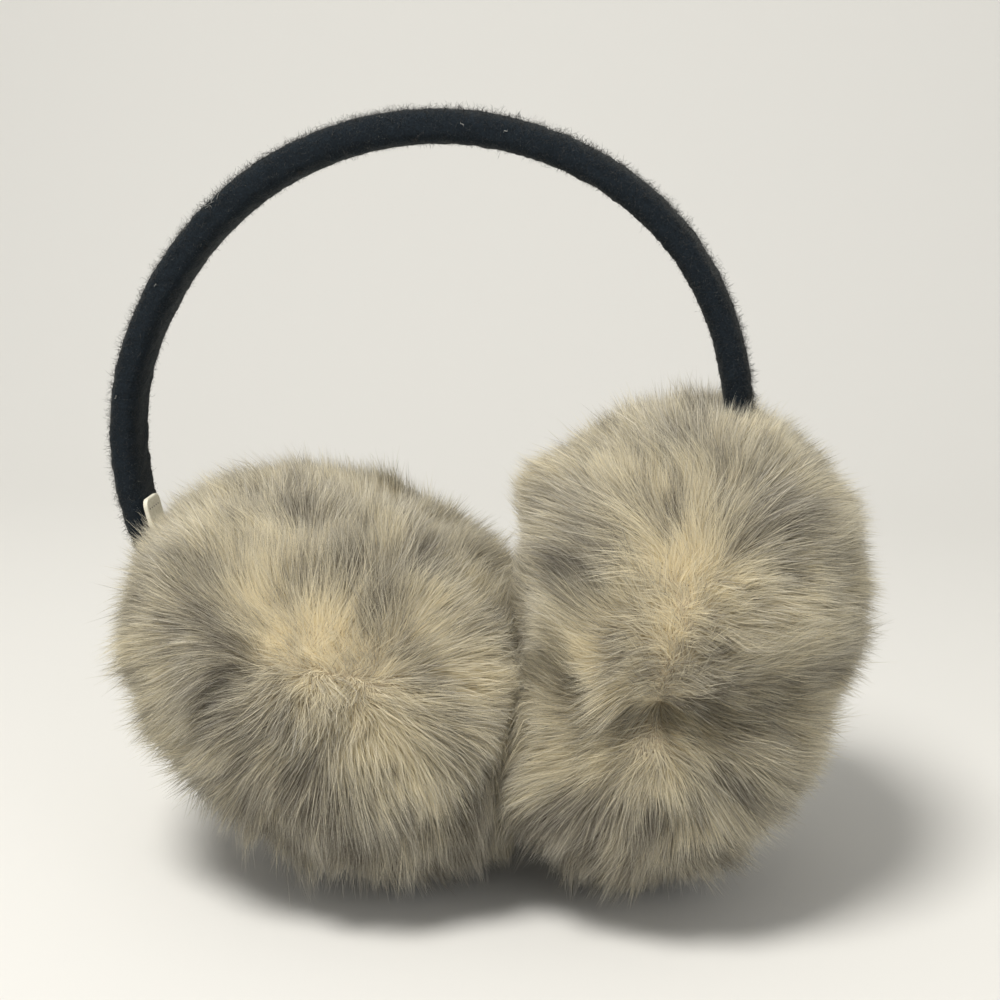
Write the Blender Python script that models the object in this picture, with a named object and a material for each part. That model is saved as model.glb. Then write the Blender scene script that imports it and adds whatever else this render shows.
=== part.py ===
"""Fur earmuffs: a fleece-wrapped spring headband with a deep fur muff on each end.

Metres, +Z up, +X to the right as seen from the front, +Y to the back. The earmuffs stand on z = 0 by
themselves: both muffs are pressed flat where they rest and where the spring pushes them together.
"""
import math

import bmesh
import bpy
import numpy as np
from mathutils import Vector

# Headband: a curved strip, flat across Y
BAND_RADIUS = 0.0744
BAND_WIDTH = 0.0135
BAND_THICKNESS = 0.0078
BAND_RIGHT_ANGLE = 8.0
BAND_INSET = 0.020
BAND_ROUNDNESS = 2.6
BAND_SIDES = 14
BAND_STEPS = 64
INSET_STEPS = 5

# Shares of the band's radius and thickness, from its left end (0) to its right end (1)
BAND_SECTIONS = (
    # turn, radius, thickness
    (0.00, 1.045, 0.90),
    (0.10, 1.030, 0.93),
    (0.25, 0.990, 1.03),
    (0.45, 0.975, 1.05),
    (0.65, 0.989, 0.97),
    (0.83, 1.007, 0.90),
    (1.00, 0.985, 0.86),
)

# Muffs: two alike furry discs, whose sizes run over the tips of the fur
MUFF_THICKNESS = 0.094
MUFF_DEPTH = 0.118
MUFF_HEIGHT = 0.128
FLOOR_PRESS = 0.0018
PRESS_SPLIT = 0.40

# How each muff hangs: its lean in degrees, the top towards +X, then, in its own axes, where the band
# goes in, as shares of thickness and height from its middle, and the way to the whorl of its fur
MUFFS = (
    # name, lean, entry across, entry up, whorl across, whorl up, crease depth
    ("left_muff", -58.5, 0.023, 0.502, 0.52, 0.08, 0.0),
    ("right_muff", 18.0, -0.046, 0.475, -0.09, 0.50, 0.0045),
)

# Fur: pointed locks that stand on the muff's backing, each widest at its waist
LOCK_CORNERS = 214
LOCK_LENGTH = 0.0110
LOCK_BULGE = 0.66
LOCK_WAIST = 0.70
LOCK_UNEVEN = 0.0024
LOCK_SCATTER = 0.18
PRESS_BLEND = 0.0060

# Fold across the right muff, where the fur below it hangs by itself
CREASE_HEIGHT = 0.033
CREASE_RISE = 0.020
CREASE_WIDTH = 0.007

# Combing: how far the locks turn away from the whorl, in degrees
COMB_TIP = 8.0
COMB_WAIST = 3.5

# Tab: the edge of the muff's backing cloth, folded out beside the band's left end
TAB_WIDTH = 0.0095
TAB_THICKNESS = 0.0012
TAB_SHOWS = 0.0050
TAB_HIDDEN = 0.0100
TAB_CORNER = 0.0022
TAB_FORWARD = 0.0032
TAB_ROUNDNESS = 6.0
TAB_SIDES = 12
TAB_STEPS = 9

GAP = 0.0003
SEED = 7


def clear_scene():
    for obj in list(bpy.data.objects):
        bpy.data.objects.remove(obj, do_unlink=True)


def material(name, colour, roughness):
    made = bpy.data.materials.new(name)
    made.use_nodes = True
    shader = made.node_tree.nodes["Principled BSDF"]
    shader.inputs["Base Color"].default_value = (*colour, 1.0)
    shader.inputs["Roughness"].default_value = roughness
    shader.inputs["Metallic"].default_value = 0.0
    return made


def add_object(name, mesh, parent, finish=None):
    obj = bpy.data.objects.new(name, mesh)
    bpy.context.scene.collection.objects.link(obj)
    obj.parent = parent
    if finish:
        mesh.materials.append(finish)
    return obj


def smooth_read(rows, column, at):
    """A column of a table read between its rows along a smooth curve."""
    rows = np.array(rows)
    x, y = rows[:, 0], rows[:, column]
    slope = np.gradient(y, x)
    i = int(np.clip(np.searchsorted(x, at) - 1, 0, len(x) - 2))
    span = x[i + 1] - x[i]
    t = (at - x[i]) / span
    return (
        (1 + 2 * t) * (1 - t) ** 2 * y[i]
        + t * (1 - t) ** 2 * span * slope[i]
        + t * t * (3 - 2 * t) * y[i + 1]
        + t * t * (t - 1) * span * slope[i + 1]
    )


class Muff:
    """The ellipsoid over the fur's tips, leaning in the band's plane."""

    def __init__(self, name, lean, entry_across, entry_up, whorl_across, whorl_up, crease_depth):
        self.name = name
        self.half = np.array([MUFF_THICKNESS, MUFF_DEPTH, MUFF_HEIGHT]) / 2
        turn = math.radians(lean)
        self.axes = np.array([
            [math.cos(turn), 0.0, -math.sin(turn)],
            [0.0, 1.0, 0.0],
            [math.sin(turn), 0.0, math.cos(turn)],
        ])
        reach = np.sqrt(((self.axes * self.half[:, None]) ** 2).sum(axis=0))
        self.reach_x, self.reach_z = reach[0], reach[2]
        self.centre = np.array([0.0, 0.0, self.reach_z - FLOOR_PRESS])
        self.to_entry = np.array([entry_across * MUFF_THICKNESS, 0.0, entry_up * MUFF_HEIGHT]) @ self.axes
        whorl = np.array([whorl_across, -1.0, whorl_up])
        self.whorl = whorl / np.linalg.norm(whorl)
        self.crease_depth = crease_depth

    @property
    def entry(self):
        return self.centre + self.to_entry

    def skin(self, way, sunk):
        """The point under the fur's tips in this direction of the muff's own axes, sunk by a length."""
        tip = way * self.half
        length = np.linalg.norm(tip)
        place = self.centre + (tip * (1 - sunk / length)) @ self.axes
        if self.crease_depth:
            front = max(-way[1], 0.0)
            height = CREASE_HEIGHT + CREASE_RISE * front
            outer = np.clip(0.5 + way[0] + 0.5 * front, 0.0, 1.0)
            fold = self.crease_depth * outer * math.exp(-(((place[2] - height) / CREASE_WIDTH) ** 2))
            place = place - fold * (way @ self.axes)
        return place

    def combed(self, way, degrees):
        """The direction turned away from the whorl, less so behind the muff."""
        away = way - self.whorl * (way @ self.whorl)
        away /= max(np.linalg.norm(away), 1e-6)
        away -= way * (away @ way)
        share = math.sin(math.acos(np.clip(way @ self.whorl, -1, 1)))
        turned = way + away * share * math.tan(math.radians(degrees))
        return turned / np.linalg.norm(turned)


def sphere_faces(count, rng):
    """Corners spread evenly over a ball, each shifted a little, and the triangles between them."""
    index = np.arange(count) + 0.5
    height = 1 - 2 * index / count
    turn = math.pi * (1 + math.sqrt(5)) * index
    flat = np.sqrt(1 - height**2)
    ways = np.stack([flat * np.cos(turn), flat * np.sin(turn), height], axis=1)
    ways += rng.normal(0, LOCK_SCATTER / math.sqrt(count), ways.shape)
    ways /= np.linalg.norm(ways, axis=1)[:, None]
    ball = bmesh.new()
    for way in ways:
        ball.verts.new(way)
    bmesh.ops.convex_hull(ball, input=ball.verts)
    bmesh.ops.recalc_face_normals(ball, faces=ball.faces)
    ball.verts.ensure_lookup_table()
    corners = np.array([v.co[:] for v in ball.verts])
    faces = [tuple(v.index for v in face.verts) for face in ball.faces]
    ball.free()
    return corners, faces


def pressed(place, wall_x, side):
    """1 where the fur is pressed on the floor or on the other muff, 0 where it stands free."""
    past = max(-place[2], side * (place[0] - wall_x))
    t = np.clip(past / PRESS_BLEND + 1, 0, 1)
    return t * t * (3 - 2 * t)


def muff_mesh(muff, wall_x, side):
    """The backing with a pointed lock on each of its faces, as one closed mesh."""
    rng = np.random.default_rng(SEED + (side > 0))
    corners, faces = sphere_faces(LOCK_CORNERS, rng)
    mesh = bmesh.new()
    depths = np.array([LOCK_LENGTH * (1 - pressed(muff.skin(way, 0.0), wall_x, side)) for way in corners])
    roots = [mesh.verts.new(muff.skin(way, depth)) for way, depth in zip(corners, depths)]
    for face in faces:
        middle = corners[list(face)].mean(axis=0)
        middle /= np.linalg.norm(middle)
        depth = depths[list(face)].mean()
        free = depth / LOCK_LENGTH
        uneven = LOCK_UNEVEN * rng.uniform(-1, 1) * free
        waist = []
        for corner in face:
            way = middle + (corners[corner] - middle) * LOCK_WAIST
            way = muff.combed(way / np.linalg.norm(way), COMB_WAIST * free)
            sunk = (depth + (depths[corner] - depth) * LOCK_WAIST) * (1 - LOCK_BULGE) + uneven
            waist.append(mesh.verts.new(muff.skin(way, sunk)))
        tip = mesh.verts.new(muff.skin(muff.combed(middle, COMB_TIP * free), uneven))
        for i in range(3):
            j = (i + 1) % 3
            mesh.faces.new((roots[face[i]], roots[face[j]], waist[j]))
            mesh.faces.new((roots[face[i]], waist[j], waist[i]))
            mesh.faces.new((waist[i], waist[j], tip))
    data = bpy.data.meshes.new(muff.name)
    bmesh.ops.recalc_face_normals(mesh, faces=mesh.faces)
    mesh.to_mesh(data)
    mesh.free()
    return data


class Band:
    """The band's centre line, from inside the left muff over the top to inside the right muff."""

    def __init__(self, left, right):
        end_turn = math.radians(BAND_RIGHT_ANGLE)
        right_radius = BAND_RADIUS * BAND_SECTIONS[-1][1]
        left_radius = BAND_RADIUS * BAND_SECTIONS[0][1]
        self.middle = right.entry - right_radius * np.array([math.cos(end_turn), 0, math.sin(end_turn)])
        drop = self.middle[2] - left.entry[2]
        start_turn = math.pi + math.asin(drop / left_radius)
        left.centre[0] += self.middle[0] + left_radius * math.cos(start_turn) - left.entry[0]
        self.start_turn, self.end_turn = start_turn, end_turn
        self.places, self.turns = self.line(left, right)
        way = np.gradient(self.places, axis=0)
        self.ways = way / np.linalg.norm(way, axis=1)[:, None]
        self.outward = np.stack([-self.ways[:, 2], 0 * self.ways[:, 0], self.ways[:, 0]], axis=1)

    def at(self, turn):
        angle = self.start_turn + (self.end_turn - self.start_turn) * turn
        radius = BAND_RADIUS * smooth_read(BAND_SECTIONS, 1, turn)
        return self.middle + radius * np.array([math.cos(angle), 0, math.sin(angle)])

    def line(self, left, right):
        """Points and their turns, with both ends bent in towards the middle of their muffs."""
        turns = np.linspace(0, 1, BAND_STEPS)
        arc = [self.at(turn) for turn in turns]
        ends = []
        for muff, tip, inner in ((left, arc[0], arc[1]), (right, arc[-1], arc[-2])):
            ahead = (tip - inner) / np.linalg.norm(tip - inner)
            inward = (muff.centre - tip) / np.linalg.norm(muff.centre - tip)
            bend = tip + ahead * BAND_INSET / 2
            end = bend + inward * BAND_INSET / 2
            steps = np.arange(1, INSET_STEPS + 1) / INSET_STEPS
            ends.append([tip * (1 - s) ** 2 + bend * 2 * s * (1 - s) + end * s * s for s in steps])
        places = ends[0][::-1] + arc + ends[1]
        turns = [0.0] * INSET_STEPS + list(turns) + [1.0] * INSET_STEPS
        return np.array(places), np.array(turns)


def strip_mesh(name, places, outward, half_thick, half_wide, power, sides):
    """A closed strip along the places, with a rounded section that is wide across Y."""
    mesh = bmesh.new()
    angles = (np.arange(sides) + 0.5) * 2 * math.pi / sides
    across = np.sign(np.cos(angles)) * np.abs(np.cos(angles)) ** (2 / power)
    over = np.sign(np.sin(angles)) * np.abs(np.sin(angles)) ** (2 / power)
    loops = []
    for place, out, thick, (low, high) in zip(places, outward, half_thick, half_wide):
        ys = (low + high) / 2 + across * (high - low) / 2
        loops.append([mesh.verts.new(place + out * thick * o + np.array([0, y, 0])) for o, y in zip(over, ys)])
    for one, two in zip(loops, loops[1:]):
        for i in range(sides):
            mesh.faces.new((one[i], one[i - 1], two[i - 1], two[i]))
    mesh.faces.new(loops[0])
    mesh.faces.new(loops[-1][::-1])
    bmesh.ops.recalc_face_normals(mesh, faces=mesh.faces)
    data = bpy.data.meshes.new(name)
    mesh.to_mesh(data)
    mesh.free()
    return data


def band_mesh(name, band, grow=0.0):
    thick = BAND_THICKNESS / 2 * np.array([smooth_read(BAND_SECTIONS, 2, t) for t in band.turns]) + grow
    wide = [(-BAND_WIDTH / 2 - grow, BAND_WIDTH / 2 + grow)] * len(band.turns)
    places = band.places.copy()
    places[0] -= band.ways[0] * grow
    places[-1] += band.ways[-1] * grow
    return strip_mesh(name, places, band.outward, thick, wide, BAND_ROUNDNESS, BAND_SIDES)


def tab_mesh(name, band, grow=0.0):
    """The tab, on the inner side of the band's left end, with its upper corners rounded."""
    along = np.concatenate([[0], np.cumsum(np.linalg.norm(np.diff(band.places, axis=0), axis=1))])
    entry = along[INSET_STEPS]
    start, stop = entry - TAB_HIDDEN - grow, entry + TAB_SHOWS + grow
    straight = np.linspace(start, stop - TAB_CORNER, TAB_STEPS)
    rounded = stop - TAB_CORNER * (1 - np.sin(np.linspace(0, math.pi / 2, TAB_STEPS)))
    runs = np.concatenate([straight[:-1], rounded[:-1]])
    seats = BAND_THICKNESS / 2 * np.array([smooth_read(BAND_SECTIONS, 2, t) for t in band.turns])
    places, outward, wide = [], [], []
    for run in runs:
        out = np.array([np.interp(run, along, band.outward[:, axis]) for axis in range(3)])
        out /= np.linalg.norm(out)
        seat = np.interp(run, along, seats) + GAP + TAB_THICKNESS / 2
        place = np.array([np.interp(run, along, band.places[:, axis]) for axis in range(3)])
        to_top = max(0.0, TAB_CORNER - (stop - run))
        cut = TAB_CORNER - math.sqrt(max(TAB_CORNER**2 - to_top**2, 0.0))
        half = TAB_WIDTH / 2 + grow - cut
        places.append(place - out * seat)
        outward.append(out)
        wide.append((-TAB_FORWARD - half, -TAB_FORWARD + half))
    thick = [TAB_THICKNESS / 2 + grow] * len(places)
    return strip_mesh(name, places, outward, thick, wide, TAB_ROUNDNESS, TAB_SIDES)


def box_mesh(name, low, high):
    mesh = bmesh.new()
    bmesh.ops.create_cube(mesh, size=1.0)
    middle = (Vector(low) + Vector(high)) / 2
    side = Vector(high) - Vector(low)
    for vert in mesh.verts:
        vert.co = Vector(c * s for c, s in zip(vert.co, side)) + middle
    data = bpy.data.meshes.new(name)
    mesh.to_mesh(data)
    mesh.free()
    return data


def cut(obj, cutters):
    """Takes the cutters out of the object, then drops the tips of locks that a cutter parted from it."""
    for cutter in cutters:
        step = obj.modifiers.new(cutter.name, "BOOLEAN")
        step.operation = "DIFFERENCE"
        step.solver = "EXACT"
        step.object = cutter
    bpy.context.view_layer.update()
    graph = bpy.context.evaluated_depsgraph_get()
    whole = bpy.data.meshes.new_from_object(obj.evaluated_get(graph))
    obj.modifiers.clear()
    mesh = bmesh.new()
    mesh.from_mesh(whole)
    left = set(mesh.verts)
    islands = []
    while left:
        island = {left.pop()}
        edge = list(island)
        while edge:
            near = {e.other_vert(v) for v in edge for e in v.link_edges} - island
            island |= near
            edge = list(near)
        left -= island
        islands.append(island)
    largest = max(islands, key=len)
    bmesh.ops.delete(mesh, geom=[v for v in mesh.verts if v not in largest], context="VERTS")
    mesh.to_mesh(whole)
    mesh.free()
    obj.data = whole


def main():
    clear_scene()
    whole = bpy.data.objects.new("earmuffs", None)
    bpy.context.scene.collection.objects.link(whole)
    left, right = (Muff(*row) for row in MUFFS)
    band = Band(left, right)
    fleece = material("black_fleece", (0.014, 0.016, 0.020), 0.95)
    fur = material("grey_beige_fur", (0.46, 0.42, 0.34), 0.8)
    cloth = material("cream_cloth", (0.80, 0.74, 0.62), 0.9)
    headband = add_object("headband", band_mesh("headband", band), whole, fleece)
    headband.data.shade_smooth()
    add_object("backing_tab", tab_mesh("backing_tab", band), whole, cloth)
    left_edge = left.centre[0] + left.reach_x
    right_edge = right.centre[0] - right.reach_x
    wall_x = right_edge + (left_edge - right_edge) * PRESS_SPLIT
    far = 2 * (left.reach_x + right.reach_x)
    floor = add_object("floor_cutter", box_mesh("floor_cutter", (-far * 2, -far, -far), (far, far, 0.0)), whole)
    band_hole = add_object("band_cutter", band_mesh("band_cutter", band, GAP), whole)
    tab_hole = add_object("tab_cutter", tab_mesh("tab_cutter", band, GAP), whole)
    for muff, side in ((left, 1), (right, -1)):
        near = wall_x - side * GAP / 2
        low, high = sorted((near, near + side * far))
        wall = add_object("wall_cutter", box_mesh("wall_cutter", (low, -far, -far), (high, far, far)), whole)
        obj = add_object(muff.name, muff_mesh(muff, wall_x, side), whole, fur)
        cut(obj, (floor, wall, band_hole, tab_hole) if side > 0 else (floor, wall, band_hole))
        bpy.data.objects.remove(wall, do_unlink=True)
    for helper in (floor, band_hole, tab_hole):
        bpy.data.objects.remove(helper, do_unlink=True)
    corners = np.array([v.co[:] for obj in whole.children for v in obj.data.vertices])
    middle = (corners.min(axis=0) + corners.max(axis=0)) / 2
    whole.location = (-middle[0], -middle[1], 0.0)


main()
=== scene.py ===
"""Looks of the fur earmuffs: strand fur on both muffs, a fuzzy fleece headband and a ribbed cloth tab.

Metres, +Z up, +X to the right as seen from the front, +Y to the back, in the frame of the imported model.
"""
import math
from collections import namedtuple

import bpy
import numpy as np
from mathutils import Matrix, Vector, kdtree


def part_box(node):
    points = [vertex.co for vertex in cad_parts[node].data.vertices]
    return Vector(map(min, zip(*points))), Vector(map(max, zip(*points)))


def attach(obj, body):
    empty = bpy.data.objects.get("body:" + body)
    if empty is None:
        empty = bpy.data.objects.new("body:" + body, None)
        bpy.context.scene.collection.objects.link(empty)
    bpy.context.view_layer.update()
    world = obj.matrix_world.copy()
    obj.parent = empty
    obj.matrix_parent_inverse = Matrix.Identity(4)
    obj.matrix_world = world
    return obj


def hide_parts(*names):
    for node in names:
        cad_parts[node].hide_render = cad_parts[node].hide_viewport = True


SEED = 11
SHADES = 48

CAMERA_AZIMUTH = 8.0
CAMERA_ELEVATION = 14.0
CAMERA_DISTANCE = 0.430
CAMERA_TARGET = (0.0027, 0.0, 0.0939)
CAMERA_LENS = 63.7

# Headband, as the solid has it
BAND_MIDDLE = (-0.01336, -0.00015, 0.10974)
BAND_RADIUS = 0.0744
BAND_WIDTH = 0.0135
BAND_THICKNESS = 0.0078
BAND_START = 197.0
BAND_END = 8.0
BAND_ROUNDNESS = 3.0
BAND_SECTIONS = (
    # turn, radius share, thickness share
    (0.00, 1.045, 0.90),
    (0.10, 1.030, 0.93),
    (0.25, 0.990, 1.03),
    (0.45, 0.975, 1.05),
    (0.65, 0.989, 0.97),
    (0.83, 1.007, 0.90),
    (1.00, 0.985, 0.86),
)
BAND_INSET = 0.020
INSET_STEPS = 24
ARC_STEPS = 340

# Small things caught on the fleece: where along the arc and round the section, in degrees
PILLS = (
    # turn, angle, radius in millimetres, fibres
    (0.430, 218.0, 0.9, 150),
    (0.556, 212.0, 0.8, 130),
    (0.300, 222.0, 0.6, 90),
    (0.700, 215.0, 0.6, 90),
)
LINT = (
    # turn, angle, length along, length round in degrees, curl
    (0.322, 118.0, 3.6, 46.0, 0.5),
    (0.326, 126.0, 3.9, 40.0, 0.6),
    (0.338, 150.0, 3.0, -38.0, 0.8),
    (0.345, 160.0, 3.4, -30.0, 1.0),
    (0.296, 128.0, 1.6, 20.0, 1.0),
    (0.240, 168.0, 0.5, 8.0, 0.4),
    (0.598, 168.0, 1.2, 10.0, 0.6),
    (0.640, 176.0, 0.8, -12.0, 0.6),
    (0.120, 160.0, 0.9, 8.0, 0.6),
    (0.520, 130.0, 1.4, 14.0, 0.8),
)

# Loose fibres on the fleece: lengths and widths in millimetres, spread in radians round the outer face
Fibres = namedtuple("Fibres", "name count shortest longest width levels curl spread material")
FIBRES = (
    Fibres("headband_nap", 30000, 0.25, 0.7, 0.09, 2, 0.6, 9.0, "nap"),
    Fibres("headband_fuzz", 13000, 0.6, 1.6, 0.048, 3, 1.0, 9.0, "fuzz"),
    Fibres("headband_halo", 11000, 1.2, 3.2, 0.055, 4, 1.0, 0.9, "halo"),
    Fibres("headband_flecks", 2200, 0.5, 1.4, 0.045, 3, 0.9, 9.0, "fleck"),
)

# Widths of the pills' fibres and the lint's threads, and the length of a step along the band, in
# millimetres
PILL_FIBRE = 0.06
LINT_THREAD = 0.15
LINT_STEP = 0.69

# Cloth tab, as the solid has it, with the ribs of its weave and its row of needle holes
TAB_WIDTH = 0.0095
TAB_THICKNESS = 0.0012
TAB_SHOWS = 0.0050
TAB_HIDDEN = 0.0100
TAB_CORNER = 0.0022
TAB_FORWARD = 0.0032
TAB_RINGS = 150
TAB_SIDES = 36
TAB_RIB = 0.0006
TAB_RIB_HEIGHT = 0.000045
TAB_HEM_HEIGHT = 0.00012
TAB_HOLES = (-6.9, -5.4, -3.9, -2.4, -0.9)
TAB_HOLES_IN = 0.0027
TAB_HOLE_WIDE = 0.00026
TAB_HOLE_HIGH = 0.00020
GAP = 0.0003

# Muffs, as the solids have them
MUFF_HALF = np.array([0.047, 0.059, 0.064])
WALL_X = 0.00788
MUFFS = (
    # name, centre across and up, lean in degrees, side that the other muff presses
    ("left_muff", -0.03368, 0.05039, -58.5, 1),
    ("right_muff", 0.04454, 0.06078, 18.0, -1),
)
MUFF_Y = -0.00015

# Where the fur parts and streams away from, a point or a line between two, in millimetres
WHORLS = (
    # muff, from x, y, z, to x, y, z, strength
    ("left_muff", -36.0, -55.3, 68.2, -19.0, -53.0, 65.6, 1.35),
    ("left_muff", -30.0, 54.0, 66.0, -26.0, 56.0, 60.0, 0.9),
    ("right_muff", 50.2, -53.8, 87.0, 42.5, -58.8, 53.0, 1.30),
    ("right_muff", 46.0, 56.0, 72.0, 43.0, 56.0, 64.0, 1.1),
)

# Where a comb has turned it at the front, in millimetres across and up, and the way that it runs
# there as seen from the front, in degrees from the right
COMBED = (
    # muff, across, height, angle, reach, strength
    ("right_muff", 54, 80, 55, 9.0, 4.5),
    ("right_muff", 52, 71, 70, 7.0, 6.0),
    ("right_muff", 52, 63, 40, 6.0, 5.0),
    ("right_muff", 62, 76, 15, 9.0, 4.0),
    ("right_muff", 62, 67, 55, 7.0, 5.0),
    ("right_muff", 72, 69, 65, 8.0, 5.0),
    ("right_muff", 83, 65, 25, 8.0, 3.5),
    ("right_muff", 54, 54, 45, 6.0, 4.5),
    ("right_muff", 65, 55, 35, 7.0, 3.5),
    ("right_muff", 76, 52, 25, 7.0, 3.5),
    ("right_muff", 39, 81, 110, 8.0, 4.0),
    ("right_muff", 30, 81, 110, 10.0, 4.0),
    ("right_muff", 20, 80, 110, 9.0, 3.5),
    ("right_muff", 35, 68, 135, 9.0, 3.5),
    ("right_muff", 30, 54, 165, 8.0, 3.0),
    ("right_muff", 21, 44, -120, 7.0, 3.0),
    ("right_muff", 54, 42, -110, 8.0, 3.0),
    ("right_muff", 44, 45, -125, 6.0, 3.0),
    ("right_muff", 64, 43, -95, 8.0, 2.5),
    ("left_muff", -32, 88, 145, 9.0, 3.5),
    ("left_muff", -11, 63, -50, 7.0, 4.5),
    ("left_muff", -3, 58, 25, 9.0, 3.5),
    ("left_muff", -42, 53, -130, 8.0, 3.5),
    ("left_muff", -52, 63, -170, 9.0, 4.0),
    ("left_muff", -48, 73, 105, 9.0, 3.5),
    ("left_muff", -12, 48, -75, 9.0, 3.0),
    ("left_muff", -21, 52, -50, 8.0, 2.5),
    ("right_muff", 85, 42, 5, 7.0, 3.0),
)

# Darker (above 0) and creamier (below 0) patches of fur at the front, in millimetres across and up: mostly
# the fur's own tone, but painted shade where marked below
TONE_AND_PAINTED_SHADE_PATCHES = (
    # muff, across, height, reach, depth
    ("left_muff", -18, 84, 5.5, 0.45),
    ("left_muff", -11, 90, 5.5, 0.40),
    ("left_muff", -11, 72, 6.0, 0.30),
    ("left_muff", -51, 68, 6.0, 0.42),
    ("left_muff", -65, 80, 9.0, 0.28),
    ("left_muff", -59, 59, 8.0, 0.32),
    ("left_muff", -56, 52, 7.0, 0.28),
    ("left_muff", -41, 54, 5.0, 0.36),
    ("left_muff", -31, 35, 8.0, 0.42),
    ("left_muff", 7, 73, 5.0, 0.40),
    ("left_muff", -3, 59, 5.0, 0.28),
    ("left_muff", -23, 22, 5.5, 0.32),
    ("left_muff", -43, 92, 8.0, 0.16),
    ("left_muff", -1, 85, 8.0, 0.22),
    ("left_muff", -25, 68, 4.0, 0.12),
    ("left_muff", -27, 54, 5.0, 0.22),
    ("left_muff", -29, 79, 10.0, -0.42),
    ("left_muff", -44, 85, 8.0, -0.18),
    ("left_muff", -7, 82, 9.0, -0.28),
    ("left_muff", -39, 70, 9.0, -0.34),
    ("left_muff", -19, 47, 6.0, -0.28),
    ("left_muff", 4, 61, 9.0, -0.20),
    ("left_muff", -1, 36, 7.0, -0.24),
    # Painted shade: a broad darkening over the left muff's top, where the key light falls strongest, and one
    # low on the left muff
    ("left_muff", -38, 95, 17.0, 0.30),
    ("left_muff", -47, 30, 15.0, 0.20),
    ("left_muff", -10, 59, 6.0, -0.18),
    ("right_muff", 69, 105, 6.5, 0.50),
    ("right_muff", 18, 91, 5.5, 0.50),
    ("right_muff", 30, 88, 5.0, 0.20),
    ("right_muff", 44, 106, 5.0, 0.34),
    # Painted shadow along the right muff's crease, under the fur that overhangs it, together with the darker
    # tips there
    ("right_muff", 48, 60, 4.5, 0.50),
    ("right_muff", 54, 62, 4.5, 0.55),
    ("right_muff", 61, 64, 4.5, 0.55),
    ("right_muff", 69, 66, 4.5, 0.55),
    ("right_muff", 76, 66, 5.0, 0.55),
    ("right_muff", 84, 65, 5.5, 0.50),
    ("right_muff", 63, 39, 8.0, 0.42),
    ("right_muff", 54, 75, 7.0, 0.22),
    ("right_muff", 34, 81, 4.5, 0.28),
    ("right_muff", 16, 62, 5.5, 0.36),
    ("right_muff", 50, 85, 3.5, 0.22),
    ("right_muff", 16, 102, 11.0, 0.26),
    ("right_muff", 77, 97, 9.0, 0.22),
    ("right_muff", 58, 116, 6.0, 0.26),
    ("right_muff", 29, 32, 7.0, 0.26),
    ("right_muff", 18, 29, 7.0, 0.34),
    ("right_muff", 43, 30, 6.0, 0.22),
    ("right_muff", 25, 100, 5.0, 0.24),
    ("right_muff", 52, 92, 9.0, -0.32),
    ("right_muff", 44, 87, 6.0, -0.36),
    ("right_muff", 20, 81, 8.0, -0.34),
    ("right_muff", 39, 105, 7.0, -0.20),
    ("right_muff", 27, 71, 8.0, -0.28),
    ("right_muff", 53, 54, 6.0, -0.30),
    ("right_muff", 70, 89, 8.0, -0.14),
    ("right_muff", 20, 40, 6.0, -0.28),
    ("right_muff", 47, 38, 6.0, -0.28),
    ("right_muff", 59, 24, 7.0, -0.26),
    ("right_muff", 51, 112, 7.0, -0.18),
)

# Where the outline dips (above 0) or swells (below 0), in millimetres
DENTS = (
    # muff, x, y, z, reach, depth
    ("left_muff", -20.0, 5.0, 95.5, 15.0, 3.2),
    ("left_muff", -9.0, 5.0, 90.5, 11.0, 1.4),
    ("left_muff", 3.5, 0.0, 86.5, 9.0, -3.0),
    ("right_muff", 76.0, 0.0, 115.0, 12.0, 4.6),
    ("right_muff", 87.0, 0.0, 101.0, 6.0, -1.6),
    ("right_muff", 93.0, -5.0, 84.0, 12.0, -0.9),
    ("right_muff", 88.0, -4.0, 54.5, 8.0, 5.4),
    ("right_muff", 85.5, -15.0, 41.5, 6.0, -1.2),
    ("right_muff", 14.0, 0.0, 101.0, 14.0, -4.5),
    ("right_muff", 30.0, 0.0, 112.0, 12.0, -1.2),
)

# Where the muffs meet at the front: how far across the line runs at a height, in millimetres
SEAM = (
    # height, shift
    (0.015, -3.0),
    (0.031, -2.2),
    (0.048, 2.6),
    (0.067, 4.8),
    (0.082, 2.7),
    (0.100, -4.2),
)
SEAM_REACH = 0.018

# Coats of fur on each muff: lengths in millimetres, angles in degrees from the skin's normal, shares of
# the clumps' pull, of the shade and of the light that each hair takes by itself
Coat = namedtuple(
    "Coat", "name strands depth reach spread width levels lie_root lie_tip clump tone own_shading"
)
COATS = (
    Coat("underfur", 190000, 9.6, 7.4, 0.18, 0.22, 2, 22.0, 58.0, 0.30, 0.04, 0.9),
    Coat("guard_hair", 64000, 10.0, 10.3, 0.22, 0.120, 3, 14.0, 66.0, 0.36, -0.02, 2.2),
)
CLUMPS = 3000
CREASE_LINE = (
    # how far to the front, height
    (0.0, 0.0400),
    (0.4, 0.0530),
    (0.7, 0.0620),
    (0.9, 0.0612),
    (1.0, 0.0580),
)
CREASE_WIDTH = 0.0055
CREASE_DEPTH = 0.0095
CORE_DEPTH = 10.0
LIT_FROM = 0.8 * np.array([-0.19, -0.36, 0.91])
LONGEST_HAIR = 0.023
STRAY_SHARE = 0.035
LOOSE_LIE = 18

# How far the fur's surface lies over its roots, and where along a hair its colour shows
FUR_TOP = 0.009
SEEN_OVER = 0.0085
SEEN_ALONG = 0.0065

# Fur at a whorl: its reach, how firmly it is combed, and how its roots, height and lie change there
WHORL_REACH = 0.0105
WHORL_CORE = 0.005
WHORL_PULL = 0.03
WHORL_DEPTH = 0.004
WHORL_RAISED = 0.58
WHORL_LOWERED = 0.62
WHORL_LIE = 44
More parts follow.
